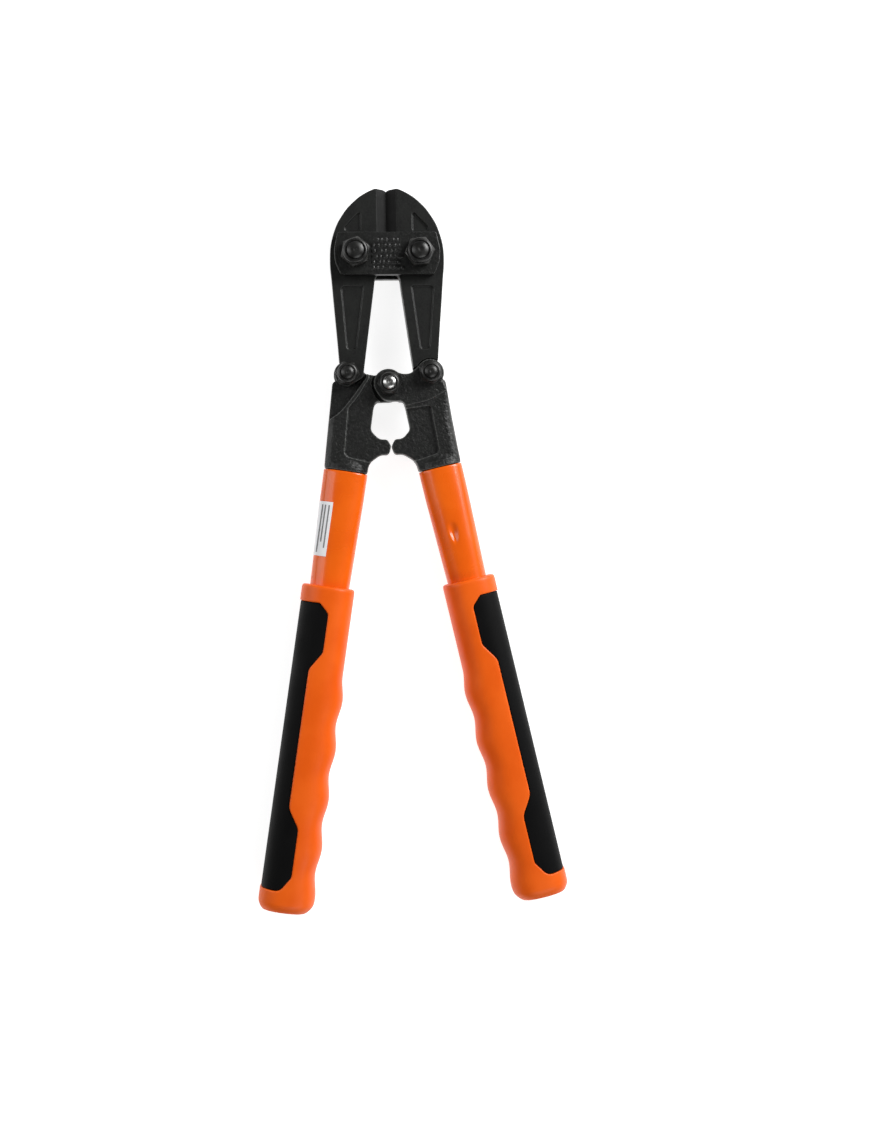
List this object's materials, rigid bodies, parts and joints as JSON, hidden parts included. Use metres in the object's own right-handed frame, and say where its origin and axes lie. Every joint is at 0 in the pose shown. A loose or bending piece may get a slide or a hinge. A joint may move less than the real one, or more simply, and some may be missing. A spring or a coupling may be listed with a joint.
{
  "type": "bolt cutters",
  "caption": "Compact bolt cutters: hinged centre-cut jaws held by link plates, driven through toggle bolts by two crossed handles with tube shanks and soft grips.",
  "frame": {"origin": "centre of the bounding box in X and Y, at the lowest point, where the tool lies flat on the heads of its jaw bolts", "axes": "+Y runs from the grips to the cutting jaws, +Z is the tool's thickness towards the nuts, +X is to the right seen from the nut side"},
  "size_m": [0.1312, 0.305, 0.0271],
  "materials": {
    "forged": "blackened forging, fine pitted texture, satin",
    "blade": "blackened tool steel, satin, with ground bevels",
    "fastener": "black oxide, satin",
    "bright": "bright zinc-plated steel",
    "enamel": "glossy orange enamel",
    "vinyl": "satin orange moulded vinyl",
    "pad": "smooth black rubber",
    "label": "plain white sticker"
  },
  "bodies": {
    "head": {"link_plate_front": "forged", "link_plate_back": "forged", "jaw_bolt_left": "fastener", "jaw_bolt_right": "fastener", "jaw_nut_left": "fastener", "jaw_nut_right": "fastener"},
    "jaw_left": {"jaw_left": "blade"},
    "jaw_right": {"jaw_right": "blade"},
    "handle_left": {"handle_head_left": "forged", "tube_left": "enamel", "grip_left": "vinyl", "grip_pad_left": "pad", "label": "label", "toggle_bolt_left": "fastener", "toggle_nut_left": "fastener"},
    "handle_right": {"handle_head_right": "forged", "tube_right": "enamel", "grip_right": "vinyl", "grip_pad_right": "pad", "toggle_bolt_right": "fastener", "toggle_nut_right": "fastener", "centre_bolt": "bright", "centre_nut": "fastener", "centre_washer": "fastener"}
  },
  "joints": [
    {"name": "left_jaw_pivot", "type": "hinge", "parent": "head", "child": "jaw_left", "pos_m": [-0.02041, 0.12483, 0.0116], "axis": [0, 0, 1], "range_deg": [-0.2, 5.2]},
    {"name": "right_jaw_pivot", "type": "hinge", "parent": "head", "child": "jaw_right", "pos_m": [0.00659, 0.12483, 0.0116], "axis": [0, 0, -1], "range_deg": [-0.2, 5.2]},
    {"name": "left_handle_pivot", "type": "hinge", "parent": "jaw_left", "child": "handle_left", "pos_m": [-0.02441, 0.07463, 0.0116], "axis": [0, 0, -1], "range_deg": [-0.7, 38]},
    {"name": "right_handle_pivot", "type": "hinge", "parent": "jaw_right", "child": "handle_right", "pos_m": [0.01059, 0.07463, 0.0116], "axis": [0, 0, 1], "range_deg": [-0.8, 38.5]}
  ],
  "couplings": [
    {"joint": "right_handle_pivot", "follows": "left_handle_pivot", "ratio": 1},
    {"joint": "left_jaw_pivot", "follows": "left_handle_pivot", "ratio": 0.13},
    {"joint": "right_jaw_pivot", "follows": "left_handle_pivot", "ratio": 0.13}
  ]
}
